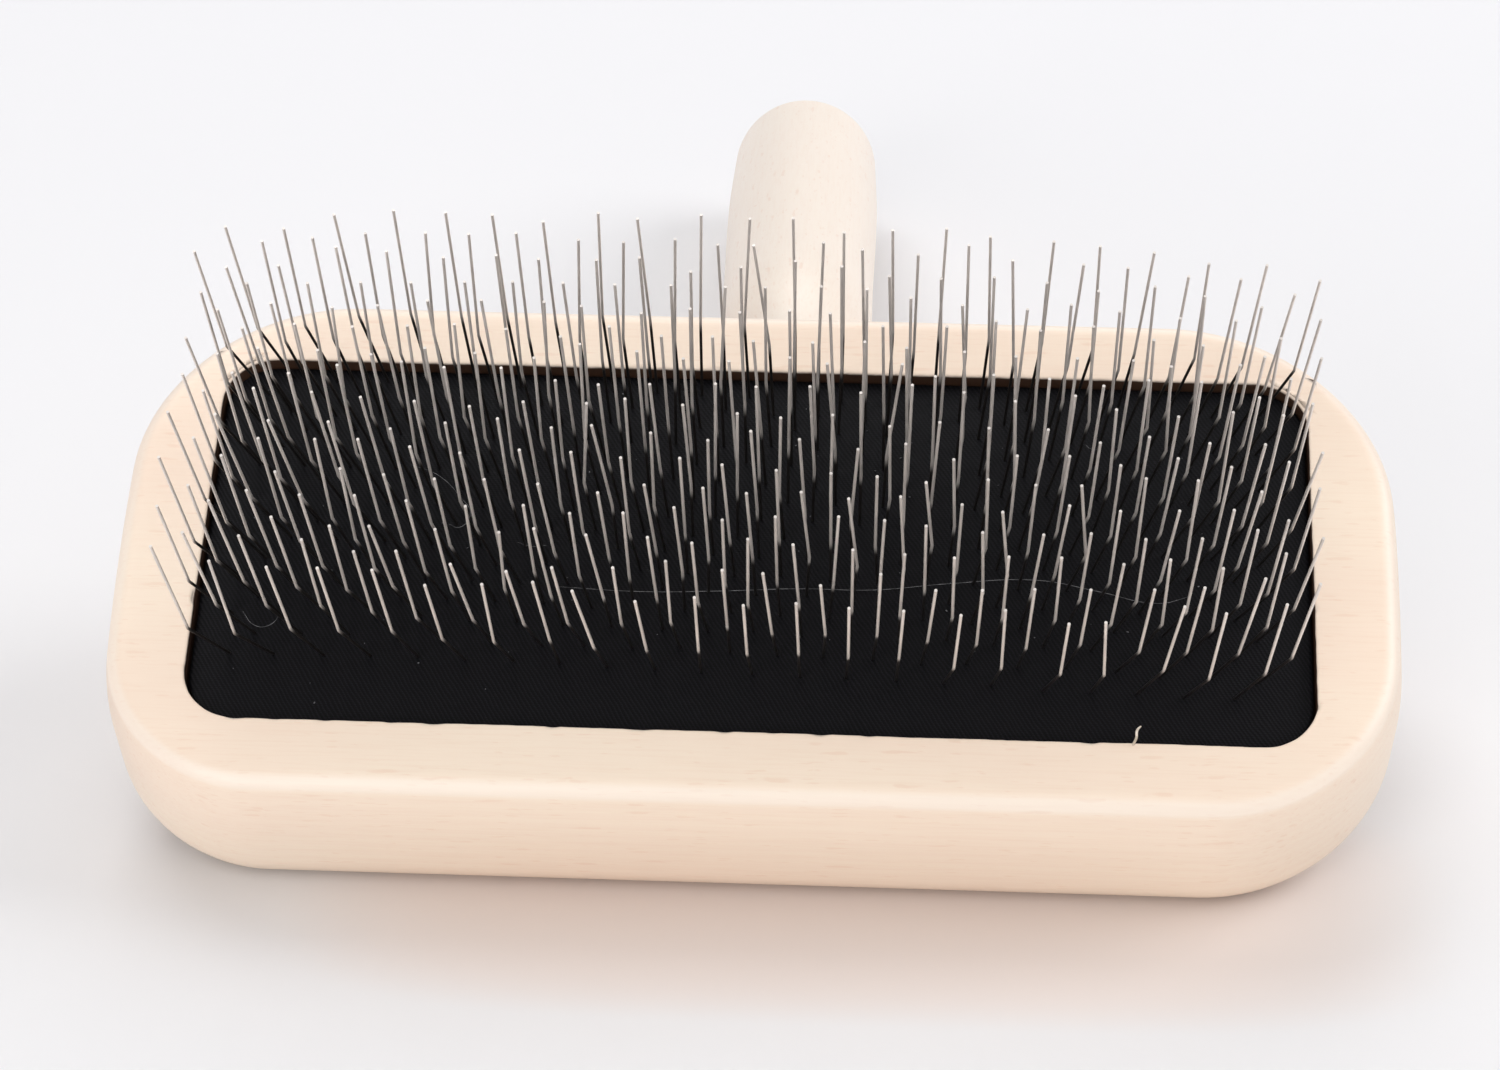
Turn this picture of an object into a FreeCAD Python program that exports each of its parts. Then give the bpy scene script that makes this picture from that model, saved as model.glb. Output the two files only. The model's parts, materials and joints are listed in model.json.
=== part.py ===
"""Slicker brush with a wooden head, a cushioned pad of kneed wire pins and an angled handle.

Everything is drawn in the head's own frame: X along the head, +Y towards the handle, +Z out of
the pocket where the pins stand, with Z = 0 on the rim. The brush is then tipped into the stance
it takes on a table, pins up, on the head's front edge and the handle's end. In the finished part
the origin is under the middle of the whole brush, on the table. All lengths are in millimetres.
"""

import FreeCAD
import Part

import math
import os
import random

# head block; corner radii run front left, front right, rear right, rear left
HEAD_LENGTH = 130.0
HEAD_DEPTH = 59.4
HEAD_THICKNESS = 20.6
HEAD_CORNERS_R = (16.0, 19.0, 22.5, 21.5)
RIM_ROUND_R = 3.0
BACK_ROUND_R = 6.0

# pocket for the pad
POCKET_LENGTH = 111.5
POCKET_WIDTH = 43.0
POCKET_CORNER_R = 5.5
POCKET_FLOOR = 7.4

# handle, measured along its axis from the head's rear face
HANDLE_DROP_DEG = 41.6
HANDLE_TURN_DEG = 1.8
HANDLE_ENTRY_X = 2.6
HANDLE_ENTRY_DEPTH = 9.6
HANDLE_LENGTH = 119.0
HANDLE_STUB_R = 5.2
HANDLE_NECK_R = 5.9
HANDLE_FLARE_AT = 8.0
HANDLE_FLARE_R = 7.4
HANDLE_THROAT_AT = 26.0
HANDLE_THROAT_R = 8.45
HANDLE_BELLY_AT = 88.0
HANDLE_BELLY_R = 9.35
HANDLE_END_R = 9.3
HANDLE_END_ROUND_R = 5.0
HANDLE_END_CROWN = 1.4
HANDLE_STUB = 8.0

# dowel that pins the handle to the head
DOWEL_R = 2.45
DOWEL_LENGTH = 28.0
DOWEL_DEPTH = 13.0
DOWEL_IN_HEAD = 18.7
DOWEL_CHAMFER = 0.6
DOWEL_FLUTES = 10
DOWEL_FLUTE_R = 0.3
DOWEL_HOLE_R = 2.5
DOWEL_HOLE_SPARE = 1.0

# pad, from its face down
PAD_GAP = 0.3
PAD_DROP = 1.4
PAD_CROWN = 1.5
PAD_FACE_POINTS = (13, 9)
CLOTH_THICKNESS = 0.5
RUBBER_THICKNESS = 1.8
STAPLE_LAYER = 0.4
BACKING_THICKNESS = 0.4
FOAM_GAP = 0.05

# wire pins: each staple is two pins joined by a crown under the rubber
WIRE_R = 0.15
ROWS = 16
STAPLES_PER_ROW = 11
PIN_PITCH = 4.74
ROW_PITCH = 2.24
FIRST_ROW_Y = -14.6
FIELD_CENTRE_X = -0.6
FIELD_SKEW_DEG = -1.3
LOWER_LENGTH = 10.5
UPPER_LENGTH = 15.5
KNEE_BEND_R = 0.7
CROWN_BEND_R = 0.45
LOWER_SPLAY_DEG = 16.0
UPPER_SPLAY_DEG = 6.0
LOWER_LEAN_DEG = (-8.0, 18.0, -5.0)
UPPER_LEAN_DEG = (-5.5, 12.0, 3.5)
BASE_SCATTER = 0.14
LOWER_SCATTER_DEG = 1.3
UPPER_SCATTER_DEG = 1.3
LENGTH_SCATTER = 0.2
SCATTER_SEED = 20

Vector = FreeCAD.Vector
X_AXIS = Vector(1, 0, 0)
Y_AXIS = Vector(0, 1, 0)
Z_AXIS = Vector(0, 0, 1)


def rounded_slab(length, width, corners_r, z_low, z_high):
    """A block centred on the Z axis with four rounded upright corners."""
    signs = ((-1, -1), (1, -1), (1, 1), (-1, 1))
    edges = []
    last = None
    for (side, end), radius in zip(signs, corners_r):
        corner = Vector(side * length / 2, end * width / 2, z_low)
        inward_x = Vector(-side * radius, 0, 0)
        inward_y = Vector(0, -end * radius, 0)
        centre = corner + inward_x + inward_y
        middle = centre + (corner - centre) * math.sqrt(0.5)
        into, out_of = corner + inward_y, corner + inward_x
        if side != end:
            into, out_of = out_of, into
        if last:
            edges.append(Part.makeLine(last, into))
        else:
            first = into
        edges.append(Part.Arc(into, middle, out_of).toShape())
        last = out_of
    edges.append(Part.makeLine(last, first))
    return Part.Face(Part.Wire(edges)).extrude(Vector(0, 0, z_high - z_low))


def edges_at_height(shape, z):
    """The edges of a shape that lie level at one height."""
    return [e for e in shape.Edges if abs(e.BoundBox.ZMin - z) < 1e-4 and abs(e.BoundBox.ZMax - z) < 1e-4]


def head_outside():
    slab = rounded_slab(HEAD_LENGTH, HEAD_DEPTH, HEAD_CORNERS_R, -HEAD_THICKNESS, 0)
    slab = slab.makeFillet(RIM_ROUND_R, edges_at_height(slab, 0))
    return slab.makeFillet(BACK_ROUND_R, edges_at_height(slab, -HEAD_THICKNESS))


def head_block():
    pocket = rounded_slab(POCKET_LENGTH, POCKET_WIDTH, 4 * [POCKET_CORNER_R], -POCKET_FLOOR, 1)
    return head_outside().cut(pocket).cut(dowel_hole()).removeSplitter()


def handle_frame():
    """Puts a shape drawn along +Z from the origin onto the handle's axis."""
    entry = Vector(HANDLE_ENTRY_X, HEAD_DEPTH / 2, -HANDLE_ENTRY_DEPTH)
    drop = FreeCAD.Rotation(X_AXIS, -90 - HANDLE_DROP_DEG)
    turn = FreeCAD.Rotation(Z_AXIS, HANDLE_TURN_DEG)
    return FreeCAD.Placement(entry, turn.multiply(drop))


def handle_profile():
    """Half of the turned outline, in the XZ plane: neck, flare, belly and domed end."""
    round_at = HANDLE_LENGTH - HANDLE_END_CROWN - HANDLE_END_ROUND_R
    side = Part.BSplineCurve()
    side.interpolate(
        [
            Vector(HANDLE_STUB_R, 0, -HANDLE_STUB),
            Vector(HANDLE_NECK_R, 0, 0),
            Vector(HANDLE_FLARE_R, 0, HANDLE_FLARE_AT),
            Vector(HANDLE_THROAT_R, 0, HANDLE_THROAT_AT),
            Vector(HANDLE_BELLY_R, 0, HANDLE_BELLY_AT),
            Vector(HANDLE_END_R, 0, round_at),
        ]
    )
    flat_r = HANDLE_END_R - HANDLE_END_ROUND_R
    corner_mid = HANDLE_END_ROUND_R * math.sin(math.radians(45))
    corner = Part.Arc(
        Vector(HANDLE_END_R, 0, round_at),
        Vector(flat_r + corner_mid, 0, round_at + corner_mid),
        Vector(flat_r, 0, round_at + HANDLE_END_ROUND_R),
    )
    crown_r = (flat_r**2 + HANDLE_END_CROWN**2) / (2 * HANDLE_END_CROWN)
    crown_half = math.asin(flat_r / crown_r) / 2
    crown = Part.Arc(
        Vector(flat_r, 0, round_at + HANDLE_END_ROUND_R),
        Vector(crown_r * math.sin(crown_half), 0, HANDLE_LENGTH - crown_r * (1 - math.cos(crown_half))),
        Vector(0, 0, HANDLE_LENGTH),
    )
    axis_foot = Vector(0, 0, -HANDLE_STUB)
    edges = [
        side.toShape(),
        corner.toShape(),
        crown.toShape(),
        Part.makeLine(Vector(0, 0, HANDLE_LENGTH), axis_foot),
        Part.makeLine(axis_foot, Vector(HANDLE_STUB_R, 0, -HANDLE_STUB)),
    ]
    return Part.Face(Part.Wire(edges))


def handle():
    """The turned handle, its neck scribed to the head's rear face and bored for the dowel."""
    turned = handle_profile().revolve(Vector(0, 0, 0), Z_AXIS, 360)
    turned.Placement = handle_frame()
    span = HEAD_LENGTH
    behind = Part.makeBox(span, 2 * span, 2 * span, Vector(-span / 2, HEAD_DEPTH / 2 - BACK_ROUND_R, -1.5 * span))
    over = rounded_slab(HEAD_LENGTH, HEAD_DEPTH, HEAD_CORNERS_R, -HEAD_THICKNESS + BACK_ROUND_R, span)
    joined = turned.common(behind).cut(over).cut(head_outside()).cut(dowel_hole())
    return max(joined.Solids, key=lambda solid: solid.Volume)


def dowel_hole():
    length = DOWEL_LENGTH + 2 * DOWEL_HOLE_SPARE
    start = Vector(HANDLE_ENTRY_X, HEAD_DEPTH / 2 - DOWEL_IN_HEAD - DOWEL_HOLE_SPARE, -DOWEL_DEPTH)
    return Part.makeCylinder(DOWEL_HOLE_R, length, start, Y_AXIS)


def handle_dowel():
    start = Vector(HANDLE_ENTRY_X, HEAD_DEPTH / 2 - DOWEL_IN_HEAD, -DOWEL_DEPTH)
    dowel = Part.makeCylinder(DOWEL_R, DOWEL_LENGTH, start, Y_AXIS)
    ends = [e for e in dowel.Edges if isinstance(e.Curve, Part.Circle)]
    dowel = dowel.makeChamfer(DOWEL_CHAMFER, ends)
    for i in range(DOWEL_FLUTES):
        turn = 2 * math.pi * i / DOWEL_FLUTES
        side = Vector(DOWEL_R * math.cos(turn), 0, DOWEL_R * math.sin(turn))
        dowel = dowel.cut(Part.makeCylinder(DOWEL_FLUTE_R, DOWEL_LENGTH, start + side, Y_AXIS))
    return dowel


def pad_height(x, y):
    """Height of the pad's face: level along the pocket's walls and crowned in the middle."""
    along = min(abs(2 * x / POCKET_LENGTH), 1)
    across = min(abs(2 * y / POCKET_WIDTH), 1)
    return -PAD_DROP + PAD_CROWN * (1 - along**4) * (1 - across**2)


def pad_face():
    """The crowned surface as one smooth patch that covers the whole pocket."""
    columns, rows = PAD_FACE_POINTS
    points = []
    for i in range(columns):
        x = POCKET_LENGTH * (i / (columns - 1) - 0.5)
        line = []
        for j in range(rows):
            y = POCKET_WIDTH * (j / (rows - 1) - 0.5)
            line.append(Vector(x, y, pad_height(x, y)))
        points.append(line)
    surface = Part.BSplineSurface()
    surface.interpolate(points)
    return surface.toShape()


def pad_layer(depth, thickness):
    """One layer of the pad, its top a given depth under the pad's face."""
    sheet = pad_face()
    sheet.translate(Vector(0, 0, -depth))
    slab = sheet.extrude(Vector(0, 0, -thickness))
    length = POCKET_LENGTH - 2 * PAD_GAP
    width = POCKET_WIDTH - 2 * PAD_GAP
    outline = rounded_slab(length, width, 4 * [POCKET_CORNER_R - PAD_GAP], -POCKET_FLOOR, PAD_CROWN)
    return slab.common(outline).Solids[0]


def smooth_path(points, radii):
    """Straight runs through the points, joined by tangent arcs of the given radii."""
    edges = []
    start = points[0]
    for i, radius in enumerate(radii, 1):
        corner = points[i]
        before = (points[i - 1] - corner).normalize()
        after = (points[i + 1] - corner).normalize()
        half = before.getAngle(after) / 2
        reach = radius / math.tan(half)
        centre = corner + (before + after).normalize() * (radius / math.sin(half))
        nearest = corner + (centre - corner).normalize() * (radius / math.sin(half) - radius)
        into = corner + before * reach
        out_of = corner + after * reach
        edges.append(Part.makeLine(start, into))
        edges.append(Part.Arc(into, nearest, out_of).toShape())
        start = out_of
    edges.append(Part.makeLine(start, points[-1]))
    return Part.Wire(edges)


def wire_rod(points, radii):
    """A round wire bent along the points."""
    path = smooth_path(points, radii)
    ring = Part.Wire(Part.makeCircle(WIRE_R, points[0], points[1] - points[0]))
    return path.makePipeShell([ring], True, False).Solids[0]


def leaning(side_deg, lean_deg):
    """The direction that tilts sideways by one angle and towards the handle by the other."""
    return Vector(math.tan(math.radians(side_deg)), math.tan(math.radians(lean_deg)), 1).normalize()


def lean_at(terms, along, across):
    """Lean towards the handle: a set, a fan over the crown and a change towards the ends."""
    base, fan, ends = terms
    return base + fan * across * (1 - abs(along) ** 4) + ends * along**2


def splay_at(most, power, along):
    """Sideways spread, which grows from nothing at the middle of the head to most at its ends."""
    return math.copysign(most * abs(along) ** power, along)


def pin_points(x, y, rng):
    """Crown corner, knee and tip of one pin that comes out of the pad near (x, y)."""
    x += rng.gauss(0, BASE_SCATTER)
    y += rng.gauss(0, BASE_SCATTER)
    along = 2 * x / POCKET_LENGTH
    across = 2 * y / POCKET_WIDTH
    lower_side = splay_at(LOWER_SPLAY_DEG, 1.5, along) + rng.gauss(0, LOWER_SCATTER_DEG)
    lower_lean = lean_at(LOWER_LEAN_DEG, along, across) + rng.gauss(0, LOWER_SCATTER_DEG)
    upper_side = splay_at(UPPER_SPLAY_DEG, 4, along) + rng.gauss(0, UPPER_SCATTER_DEG)
    upper_lean = lean_at(UPPER_LEAN_DEG, along, across) + rng.gauss(0, UPPER_SCATTER_DEG)
    lower = leaning(lower_side, lower_lean)
    crown_depth = CLOTH_THICKNESS + RUBBER_THICKNESS + STAPLE_LAYER / 2
    foot_x = x - lower.x / lower.z * crown_depth
    foot_y = y - lower.y / lower.z * crown_depth
    foot = Vector(foot_x, foot_y, pad_height(foot_x, foot_y) - crown_depth)
    knee = Vector(x, y, pad_height(x, y)) + lower * LOWER_LENGTH
    tip = knee + leaning(upper_side, upper_lean) * (UPPER_LENGTH + rng.gauss(0, LENGTH_SCATTER))
    return foot, knee, tip


def staple(left_xy, right_xy, rng):
    """One U-shaped wire staple: tip, knee, crown corner, crown corner, knee, tip."""
    left_foot, left_knee, left_tip = pin_points(*left_xy, rng)
    right_foot, right_knee, right_tip = pin_points(*right_xy, rng)
    points = [left_tip, left_knee, left_foot, right_foot, right_knee, right_tip]
    return wire_rod(points, [KNEE_BEND_R, CROWN_BEND_R, CROWN_BEND_R, KNEE_BEND_R])


def field_point(column, row):
    """Where a pin comes out of the pad. Odd rows are shifted by half a pitch."""
    first = FIELD_CENTRE_X - (2 * STAPLES_PER_ROW - 0.5) * PIN_PITCH / 2
    x = first + (column + (row % 2) / 2) * PIN_PITCH
    y = FIRST_ROW_Y + row * ROW_PITCH
    skew = math.radians(FIELD_SKEW_DEG)
    return x * math.cos(skew) - y * math.sin(skew), x * math.sin(skew) + y * math.cos(skew)


def staple_row(row, rng):
    staples = []
    for i in range(STAPLES_PER_ROW):
        staples.append(staple(field_point(2 * i, row), field_point(2 * i + 1, row), rng))
    return Part.makeCompound(staples)


def resting_tilt_deg():
    """Tilt at which the head's front edge and the handle's end both touch the table.

    Both are rounded, so the table is the common tangent of two circles in the YZ plane.
    """
    drop = math.radians(HANDLE_DROP_DEG)
    along = Vector(0, math.cos(drop), -math.sin(drop))
    under = Vector(0, -math.sin(drop), -math.cos(drop))
    end_at = HANDLE_LENGTH - HANDLE_END_CROWN - HANDLE_END_ROUND_R
    entry = Vector(0, HEAD_DEPTH / 2, -HANDLE_ENTRY_DEPTH)
    end = entry + along * end_at + under * (HANDLE_END_R - HANDLE_END_ROUND_R)
    front = Vector(0, -HEAD_DEPTH / 2 + BACK_ROUND_R, -HEAD_THICKNESS + BACK_ROUND_R)
    reach = end - front
    difference = math.asin((HANDLE_END_ROUND_R - BACK_ROUND_R) / reach.Length)
    return math.degrees(math.atan2(-reach.z, reach.y) + difference)


def brush():
    """All pieces in the head's own frame, by node name."""
    under_rubber = CLOTH_THICKNESS + RUBBER_THICKNESS
    backing_top = under_rubber + STAPLE_LAYER
    foam_top = backing_top + BACKING_THICKNESS + FOAM_GAP
    pieces = {
        "head_block": head_block(),
        "handle": handle(),
        "handle_dowel": handle_dowel(),
        "face_cloth": pad_layer(0, CLOTH_THICKNESS),
        "rubber_foundation": pad_layer(CLOTH_THICKNESS, RUBBER_THICKNESS),
        "backing_cloth": pad_layer(backing_top, BACKING_THICKNESS),
        "foam_cushion": pad_layer(foam_top, POCKET_FLOOR),
    }
    rng = random.Random(SCATTER_SEED)
    for row in range(ROWS):
        pieces[f"staple_row_{row + 1:02d}"] = staple_row(row, rng)
    return pieces


def stand_on_table(pieces):
    """Tips every piece into the resting stance and centres the whole brush over the origin."""
    tilt = resting_tilt_deg()
    for shape in pieces.values():
        shape.rotate(Vector(0, 0, 0), X_AXIS, tilt)
    box = FreeCAD.BoundBox()
    for shape in pieces.values():
        box.add(shape.optimalBoundingBox(False, False))
    shift = Vector(-box.Center.x, -box.Center.y, -box.ZMin)
    for shape in pieces.values():
        shape.translate(shift)
    print(f"tilt {tilt:.4f} deg, shift {shift.x:.4f} {shift.y:.4f} {shift.z:.4f} mm")
    print(f"size {box.XLength:.2f} x {box.YLength:.2f} x {box.ZLength:.2f} mm")


def main():
    os.makedirs("parts", exist_ok=True)
    pieces = brush()
    stand_on_table(pieces)
    for name, shape in pieces.items():
        print(f"{name}: {len(shape.Solids)} solids, valid {shape.isValid()}, {shape.Volume:.1f} mm3")
        shape.exportStep(f"parts/{name}.step")


main()
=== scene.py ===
"""Slicker brush: pale beech head and handle, black twill pad and bent steel pins.

Lengths named here are millimetres in the head's own frame: its origin is the middle of the
rim, X runs along the head, Y towards the handle and Z out of the pocket. frame_point() turns
them into the row frame, in metres.
"""
import json
import math
import random

import bmesh
import bpy
import numpy as np
from mathutils import Matrix, Vector, noise

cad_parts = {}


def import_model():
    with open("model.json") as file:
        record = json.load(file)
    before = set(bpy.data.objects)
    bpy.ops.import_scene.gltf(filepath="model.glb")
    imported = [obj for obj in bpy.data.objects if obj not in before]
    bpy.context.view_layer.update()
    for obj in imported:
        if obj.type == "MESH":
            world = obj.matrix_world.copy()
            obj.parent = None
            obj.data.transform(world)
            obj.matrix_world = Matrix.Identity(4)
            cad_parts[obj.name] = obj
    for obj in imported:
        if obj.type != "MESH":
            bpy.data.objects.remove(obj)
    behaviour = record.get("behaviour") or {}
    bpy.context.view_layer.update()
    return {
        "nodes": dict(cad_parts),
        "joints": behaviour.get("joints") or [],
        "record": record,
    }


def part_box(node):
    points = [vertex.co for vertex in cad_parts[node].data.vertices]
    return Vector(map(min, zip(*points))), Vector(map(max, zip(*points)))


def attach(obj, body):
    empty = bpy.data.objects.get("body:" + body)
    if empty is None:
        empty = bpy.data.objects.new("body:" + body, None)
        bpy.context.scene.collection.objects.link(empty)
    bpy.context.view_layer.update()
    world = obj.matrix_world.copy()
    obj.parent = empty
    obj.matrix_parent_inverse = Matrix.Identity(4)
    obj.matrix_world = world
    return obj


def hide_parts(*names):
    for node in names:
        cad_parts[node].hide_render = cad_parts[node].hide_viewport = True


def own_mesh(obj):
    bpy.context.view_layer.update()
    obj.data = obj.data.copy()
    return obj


MM = 0.001

# head block; its corner radii go front left, front right, rear right, rear left
HEAD_THICKNESS = 20.6
HEAD_CORNERS_R = (16.0, 19.0, 22.5, 21.5)
BACK_ROUND_R = 6.0

# the front and rear sides are shorter than the head's middle by this share
END_BOW = 0.022

# the sides lean in from a depth upwards, and meet the round at the rim in a soft crease
SIDE_LEAN = 0.8
SIDE_LEAN_DEEP = 8.5
RIM_ROUND_WIDE = 2.2
RIM_ROUND_DEEP = 2.0
RIM_CREASE_DEG = 28.0

# pocket
POCKET_LENGTH = 111.5
POCKET_WIDTH = 43.0
POCKET_CORNERS_R = (5.5, 5.5, 5.5, 5.5)
POCKET_FLOOR = 7.4
POCKET_EDGE_BREAK = 0.14
POCKET_EDGE_WOBBLE = 0.07

# rings over the recess edge: how far out and how deep in edge breaks, then how much of a
# chip's width and of its depth each takes
EDGE_RINGS = (
    (2.2, 0.0, 1.0, 0.0),
    (1.0, 0.12, 1.0, 1.2),
    (0.35, 0.5, 1.0, 1.2),
    (0.0, 1.2, 1.0, 0.0),
    (0.0, 4.0, 0.0, 0.0),
)

# how finely outlines and rounds are drawn
ALONG_SAMPLES = 260
ACROSS_SAMPLES = 110
CORNER_SAMPLES = 26
ROUND_STEPS = 10

# layers of the pad
PAD_GAP = 0.32
PAD_LENGTH = POCKET_LENGTH - 2 * PAD_GAP
PAD_WIDTH = POCKET_WIDTH - 2 * PAD_GAP
PAD_CORNER_R = 5.2
PAD_DROP = 1.4
PAD_CROWN = 1.5
LAYER_GAP = 0.02
CLOTH_THICKNESS = 0.48
CLOTH_RIPPLE = 0.03
RUBBER_THICKNESS = 1.8
STAPLE_LAYER = 0.4
BACKING_THICKNESS = 0.38
FOAM_GAP = 0.08
FOAM_FLOOR_GAP = 0.03
FOAM_PITS = 0.08
FOAM_PIT_TOP = 0.03
DIMPLE_DEPTH = 0.09
DIMPLE_R = 0.55

# columns and rows of each sheet's grid
CLOTH_GRID = (int(PAD_LENGTH / 0.36), int(PAD_WIDTH / 0.36))
UNDER_GRID = (int(PAD_LENGTH / 1.1), int(PAD_WIDTH / 1.1))
FOAM_GRID = (110, 44)

# pins: the knee's height over the rim, the band round a pin's foot and the reach of one pin
KNEE_HEIGHT = 9.6
FOOT_DEPTH = 0.9
FOOT_BAND = 2.6
PIN_REACH = 1.2

# side of the squares in which the feet are filed
FOOT_SQUARE = 2

# lint, spread over a share of the pocket to either side of its middle; hairs and the splinter
LINT_COUNT = 70
LINT_SPREAD = 0.47
LINT_SPREAD_ACROSS = 0.46
LINT_LIFT = 0.05
HAIR_R = 0.018
SPLINTER_R = 0.13

# loose hairs on the pad: along the head, across it, and height over the cloth
HAIRS = {
    "hair_long": [
        (-19.4, -5.5, 0.1),
        (-11.3, -5.9, 0.25),
        (-3.4, -5.5, 0.1),
        (4.6, -5.1, 0.3),
        (12.0, -4.9, 0.12),
        (19.5, -4.0, 0.25),
        (28.5, -3.2, 0.12),
        (34.4, -4.3, 0.2),
        (40.4, -5.3, 0.1),
        (43.3, -4.5, 0.3),
    ],
    "hair_curl": [
        (-50.9, -8.8, 0.1),
        (-49.6, -10.4, 0.15),
        (-48.2, -10.7, 0.4),
        (-47.2, -9.6, 0.5),
        (-47.9, -8.7, 0.2),
    ],
    "hair_arc": [
        (-35.6, 8.9, 0.1),
        (-32.6, 7.4, 0.4),
        (-30.2, 4.9, 0.3),
        (-28.9, 2.3, 0.6),
        (-29.9, 1.1, 0.3),
        (-31.0, 1.6, 0.1),
    ],
    "hair_short": [(-23.9, -0.4, 0.1), (-22.6, -1.0, 0.35), (-21.0, -0.7, 0.1)],
    "hair_pale": [(33.1, 13.7, 0.1), (33.6, 12.9, 0.5), (34.2, 12.8, 0.6), (34.4, 13.7, 0.9)],
}

# a raised fibre on the recess edge
SPLINTER = [
    (37.6, -21.75, -0.6),
    (37.7, -21.7, 0.1),
    (37.95, -21.4, 0.9),
    (38.0, -20.9, 1.45),
    (38.35, -20.6, 1.75),
]

# wood colours
CREAM = (0.91, 0.77, 0.625, 1)
PEACH = (0.885, 0.715, 0.58, 1)
PALE = (0.93, 0.86, 0.775, 1)
FLECK = (0.76, 0.48, 0.33, 1)
# painted shade: dark brown on the pocket's wall and floor
POCKET_SHADE_PAINT = (0.06, 0.03, 0.018, 1)

# painted warm shade from the wood's bounce on the paper: its middle, and half its reach along the
# head and across it
PAINTED_WARM_SHADE = (0.8, 0.56, 0.42, 1)
CAST_SHARE = 0.3
CAST_MIDDLE = (12.0, -18.0)
CAST_LENGTH = 60.0
CAST_WIDTH = 22.0

# camera, as seen from in front of the head: its distance from the point that it looks at and
# that point's offset from the middle of the rim are in metres of the row frame
VIEW_DISTANCE = 0.4
VIEW_AZIMUTH_DEG = 2.76
VIEW_ELEVATION_DEG = 29.1
VIEW_ROLL_DEG = 0.21
VIEW_LENS = 96.0
AIM_OFFSET = Vector((-0.0005, -0.0008, 0.0017))

# floor, in metres: the flat part's reach, the bend's radius and the wall's top
FLOOR_FLAT = 2.4
FLOOR_BEND = 1.0
FLOOR_TOP = 1.7
FLOOR_SIDES = 96

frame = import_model()

HEAD_UP = Vector(frame["joints"][0]["axis"]).normalized()
HEAD_ALONG = Vector((1, 0, 0))
HEAD_TO_HANDLE = HEAD_UP.cross(HEAD_ALONG)
HEAD_AXES = (HEAD_ALONG, HEAD_TO_HANDLE, HEAD_UP)
RIM_CENTRE = Vector(frame["record"]["mounts"][0]["pos_m"]) + HEAD_UP * HEAD_THICKNESS * MM


def frame_point(x, y, z):
    """A point of the head's own frame, given in millimetres, in the row frame."""
    return RIM_CENTRE + (HEAD_ALONG * x + HEAD_TO_HANDLE * y + HEAD_UP * z) * MM


def main_axes(node):
    """The long direction of a node and two across it."""
    co = np.array([v.co for v in frame["nodes"][node].data.vertices])
    _, _, directions = np.linalg.svd(co - co.mean(0), full_matrices=False)
    return [Vector(d) for d in directions]


# ---------------------------------------------------------------- node helpers


def shader_material(name):
    """A new material with its tree and its Principled shader."""
    material = bpy.data.materials.new(name)
    material.use_nodes = True
    tree = material.node_tree
    return material, tree, tree.nodes["Principled BSDF"]


def add(tree, kind, inputs=None, **settings):
    """A node with settings and inputs filled in. An input is a value or an output to link."""
    made = tree.nodes.new(kind)
    for name, value in settings.items():
        setattr(made, name, value)
    for key, value in (inputs or {}).items():
        if isinstance(value, bpy.types.NodeSocket):
            tree.links.new(value, made.inputs[key])
        else:
            made.inputs[key].default_value = value
    return made


def maths(tree, operation, first, second=0.0):
    """One operation on one or two numbers."""
    return add(tree, "ShaderNodeMath", {0: first, 1: second}, operation=operation).outputs[0]


def times(tree, first, second):
    """Product of two numbers."""
    return maths(tree, "MULTIPLY", first, second)


def plus(tree, first, second):
    """Sum of two numbers."""
    return maths(tree, "ADD", first, second)


def minus(tree, first, second):
    """The first number less the second."""
    return maths(tree, "SUBTRACT", first, second)


def split(tree, vector):
    """The three parts of a vector output."""
    return add(tree, "ShaderNodeSeparateXYZ", {0: vector}).outputs


def mix(tree, share, first, second, blend="MIX"):
    """Two colours mixed by a share from 0 to 1."""
    inputs = {0: share, 6: first, 7: second}
    made = add(tree, "ShaderNodeMix", inputs, data_type="RGBA", blend_type=blend)
    return made.outputs[2]


def ramp(tree, value, low, high):
    """A smooth step: 0 below low and 1 above high."""
    inputs = {0: value, 1: low, 2: high}
    return add(tree, "ShaderNodeMapRange", inputs, interpolation_type="SMOOTHSTEP").outputs[0]


def coordinates(tree, axes):
    """Millimetres from the middle of the rim along three directions, as a vector output."""
    place = add(tree, "ShaderNodeTexCoord").outputs["Object"]
    ends = {0: place, 1: tuple(RIM_CENTRE)}
    offset = add(tree, "ShaderNodeVectorMath", ends, operation="SUBTRACT").outputs[0]
    parts = []
    for axis in axes:
        pair = {0: offset, 1: tuple(axis / MM)}
        dot = add(tree, "ShaderNodeVectorMath", pair, operation="DOT_PRODUCT")
        parts.append(dot.outputs["Value"])
    return add(tree, "ShaderNodeCombineXYZ", dict(enumerate(parts))).outputs[0]


def stretched(tree, vector, scale):
    """The vector with each part scaled, so that a texture is drawn out along the small ones."""
    made = add(tree, "ShaderNodeVectorMath", {0: vector, 1: scale}, operation="MULTIPLY")
    return made.outputs[0]


def noise_of(tree, vector, scale, detail=2.0, roughness=0.5):
    """Layered noise, mostly between 0.3 and 0.7."""
    inputs = {"Vector": vector, "Scale": scale, "Detail": detail, "Roughness": roughness}
    return add(tree, "ShaderNodeTexNoise", inputs).outputs[0]


def bump(tree, shader, height, strength, distance_mm):
    """Relief on the shader's normal."""
    inputs = {"Height": height, "Strength": strength, "Distance": distance_mm * MM}
    made = add(tree, "ShaderNodeBump", inputs)
    tree.links.new(made.outputs[0], shader.inputs["Normal"])


# ---------------------------------------------------------------- materials


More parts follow.
